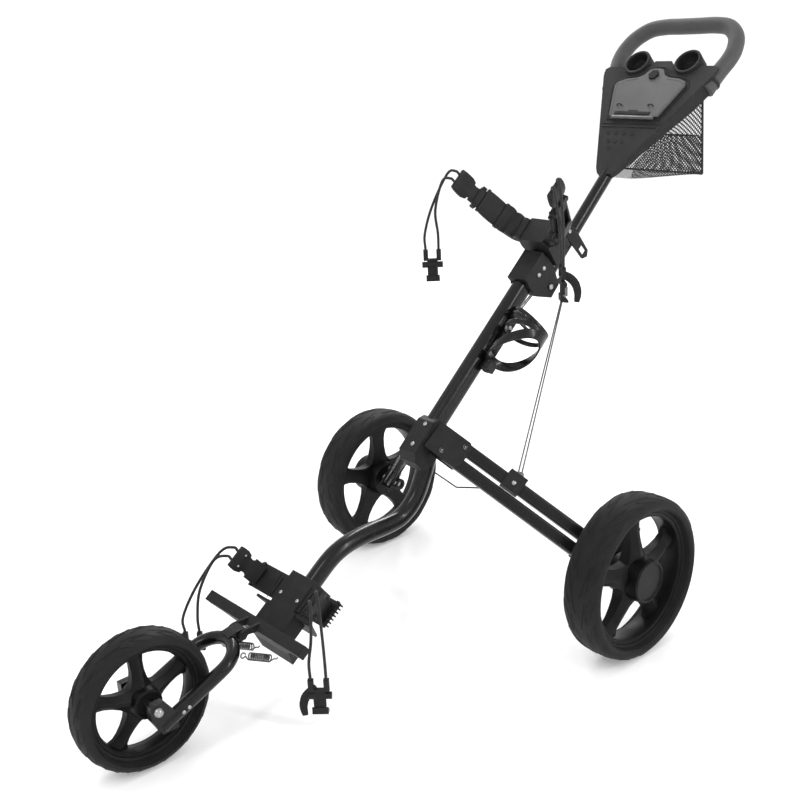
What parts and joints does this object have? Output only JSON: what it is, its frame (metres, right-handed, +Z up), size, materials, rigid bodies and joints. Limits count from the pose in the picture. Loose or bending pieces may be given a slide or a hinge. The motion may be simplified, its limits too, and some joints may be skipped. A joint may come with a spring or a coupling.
{
  "type": "golf push cart",
  "caption": "Folding wheeled push cart for a golf bag: sloped tube with upper and lower bag cradles, elastic cords, bottle cage, scorecard console with net and padded loop handle.",
  "frame": {"origin": "on the ground, under the middle of the cart's length and width", "axes": "+Z up, +Y to the rear, where the pusher walks, +X to the pusher's left"},
  "size_m": [0.748, 1.5105, 1.05],
  "materials": {
    "powder_coat": "gloss black powder coat",
    "moulded_nylon": "fine moulded texture",
    "console_abs": "fine moulded texture",
    "smoke_lid": "smoky, satin",
    "foam_grip": "closed-cell foam",
    "tyre": "moulded tread",
    "wheel_rim": "satin moulded",
    "zinc_steel": "zinc plated",
    "elastic_cord": "braided cover",
    "net": "knotless mesh"
  },
  "bodies": {
    "frame": {"main_tube": "powder_coat", "front_tube": "powder_coat", "centre_bracket": "moulded_nylon", "fold_bracket": "moulded_nylon", "upper_cradle": "moulded_nylon", "upper_arm_left": "moulded_nylon", "upper_arm_right": "moulded_nylon", "upper_buckle_left": "moulded_nylon", "upper_buckle_right": "moulded_nylon", "bottle_cage": "powder_coat", "lower_cradle": "moulded_nylon", "lower_buckle_left": "moulded_nylon", "lower_buckle_right": "moulded_nylon", "bag_shelf": "moulded_nylon", "fork_spring_left": "zinc_steel", "fork_spring_right": "zinc_steel", "brake_cable_left": "elastic_cord", "brake_cable_right": "elastic_cord", "clip_upper_left": "moulded_nylon", "clip_upper_right": "moulded_nylon", "clip_lower_left": "moulded_nylon", "clip_lower_right": "moulded_nylon", "cord_upper_left_a": "elastic_cord", "cord_upper_left_b": "elastic_cord", "cord_upper_right_a": "elastic_cord", "cord_upper_right_b": "elastic_cord", "cord_lower_left_a": "elastic_cord", "cord_lower_left_b": "elastic_cord", "cord_lower_right_a": "elastic_cord", "cord_lower_right_b": "elastic_cord"},
    "handle": {"handle_tube": "powder_coat", "console_tray": "console_abs", "grip_loop": "foam_grip", "storage_net": "net"},
    "latch": {"handle_latch": "moulded_nylon"},
    "lid": {"scorecard_lid": "smoke_lid"},
    "lid_catch": {"lid_latch": "console_abs"},
    "fork": {"front_fork": "powder_coat", "front_axle": "zinc_steel"},
    "front_wheel": {"front_rim": "wheel_rim", "front_tyre": "tyre"},
    "leg_left": {"leg_upper_tube_left": "powder_coat", "leg_clamp_left": "moulded_nylon"},
    "leg_right": {"leg_upper_tube_right": "powder_coat", "leg_clamp_right": "moulded_nylon"},
    "lower_leg_left": {"leg_lower_tube_left": "powder_coat"},
    "lower_leg_right": {"leg_lower_tube_right": "powder_coat"},
    "carrier_left": {"wheel_carrier_left": "moulded_nylon", "rear_axle_left": "zinc_steel"},
    "carrier_right": {"wheel_carrier_right": "moulded_nylon", "rear_axle_right": "zinc_steel"},
    "rear_wheel_left": {"rear_left_rim": "wheel_rim", "rear_left_tyre": "tyre"},
    "rear_wheel_right": {"rear_right_rim": "wheel_rim", "rear_right_tyre": "tyre"},
    "stay_left": {"stay_rod_left": "zinc_steel"},
    "stay_right": {"stay_rod_right": "zinc_steel"},
    "pedal_left": {"brake_pedal_left": "moulded_nylon"},
    "pedal_right": {"brake_pedal_right": "moulded_nylon"}
  },
  "joints": [
    {"name": "handle_fold", "type": "hinge", "parent": "frame", "child": "handle", "pos_m": [0, 0.277, 0.583], "axis": [-1, 0, 0], "range_deg": [0, 162], "deforming": ["storage_net", "brake_cable_left", "brake_cable_right"]},
    {"name": "latch_turn", "type": "hinge", "parent": "frame", "child": "latch", "pos_m": [0.019, 0.33671, 0.67936], "axis": [1, 0, 0], "range_deg": [0, 60]},
    {"name": "lid_hinge", "type": "hinge", "parent": "handle", "child": "lid", "pos_m": [0, 0.5499, 0.86989], "axis": [1, 0, 0], "range_deg": [0, 105]},
    {"name": "lid_catch_slide", "type": "slide", "parent": "lid", "child": "lid_catch", "axis": [0, 0.6871, 0.7266], "range_m": [0, 0.004]},
    {"name": "fork_fold", "type": "hinge", "parent": "frame", "child": "fork", "pos_m": [0, -0.463, 0.15], "axis": [1, 0, 0], "range_deg": [0, 65], "deforming": ["fork_spring_left", "fork_spring_right"]},
    {"name": "front_wheel_spin", "type": "hinge", "parent": "fork", "child": "front_wheel", "pos_m": [0, -0.643, 0.112], "axis": [1, 0, 0], "continuous": true},
    {"name": "leg_fold_left", "type": "hinge", "parent": "frame", "child": "leg_left", "pos_m": [0.05933, 0.00241, 0.34546], "axis": [-0.6922, 0.4782, -0.5406], "range_deg": [0, 79.5]},
    {"name": "lower_leg_fold_left", "type": "hinge", "parent": "frame", "child": "lower_leg_left", "pos_m": [0.036, -0.033, 0.344], "axis": [-0.6922, 0.4782, -0.5406], "range_deg": [0, 79.5]},
    {"name": "carrier_turn_left", "type": "hinge", "parent": "leg_left", "child": "carrier_left", "pos_m": [0.27515, 0.12144, 0.17442], "axis": [-0.6922, 0.4782, -0.5406], "range_deg": [-79.5, 0]},
    {"name": "stay_turn_left", "type": "hinge", "parent": "leg_left", "child": "stay_left", "pos_m": [0.13698, 0.06327, 0.29987], "axis": [-0.6922, 0.4782, -0.5406], "range_deg": [-53.5, 0]},
    {"name": "rear_wheel_spin_left", "type": "hinge", "parent": "carrier_left", "child": "rear_wheel_left", "pos_m": [0.335, 0.125, 0.146], "axis": [1, 0, 0], "continuous": true},
    {"name": "pedal_press_left", "type": "hinge", "parent": "carrier_left", "child": "pedal_left", "pos_m": [0.28, 0.159, 0.184], "axis": [-1, 0, 0], "range_deg": [0, 18], "stiffness_Nm_per_rad": 0.4, "springref_deg": -34.38},
    {"name": "leg_fold_right", "type": "hinge", "parent": "frame", "child": "leg_right", "pos_m": [-0.05933, 0.00241, 0.34546], "axis": [-0.6922, -0.4782, 0.5406], "range_deg": [0, 79.5]},
    {"name": "lower_leg_fold_right", "type": "hinge", "parent": "frame", "child": "lower_leg_right", "pos_m": [-0.036, -0.033, 0.344], "axis": [-0.6922, -0.4782, 0.5406], "range_deg": [0, 79.5]},
    {"name": "carrier_turn_right", "type": "hinge", "parent": "leg_right", "child": "carrier_right", "pos_m": [-0.27515, 0.12144, 0.17442], "axis": [-0.6922, -0.4782, 0.5406], "range_deg": [-79.5, 0]},
    {"name": "stay_turn_right", "type": "hinge", "parent": "leg_right", "child": "stay_right", "pos_m": [-0.13698, 0.06327, 0.29987], "axis": [-0.6922, -0.4782, 0.5406], "range_deg": [-53.5, 0]},
    {"name": "rear_wheel_spin_right", "type": "hinge", "parent": "carrier_right", "child": "rear_wheel_right", "pos_m": [-0.335, 0.125, 0.146], "axis": [1, 0, 0], "continuous": true},
    {"name": "pedal_press_right", "type": "hinge", "parent": "carrier_right", "child": "pedal_right", "pos_m": [-0.28, 0.159, 0.184], "axis": [-1, 0, 0], "range_deg": [0, 18], "stiffness_Nm_per_rad": 0.4, "springref_deg": -34.38}
  ],
  "couplings": [
    {"joint": "leg_fold_left", "follows": "handle_fold", "ratio": 0.48765},
    {"joint": "lower_leg_fold_left", "follows": "handle_fold", "ratio": 0.48765},
    {"joint": "carrier_turn_left", "follows": "handle_fold", "ratio": -0.48765},
    {"joint": "stay_turn_left", "follows": "handle_fold", "ratio": -0.32716},
    {"joint": "leg_fold_right", "follows": "handle_fold", "ratio": 0.48765},
    {"joint": "lower_leg_fold_right", "follows": "handle_fold", "ratio": 0.48765},
    {"joint": "carrier_turn_right", "follows": "handle_fold", "ratio": -0.48765},
    {"joint": "stay_turn_right", "follows": "handle_fold", "ratio": -0.32716}
  ]
}
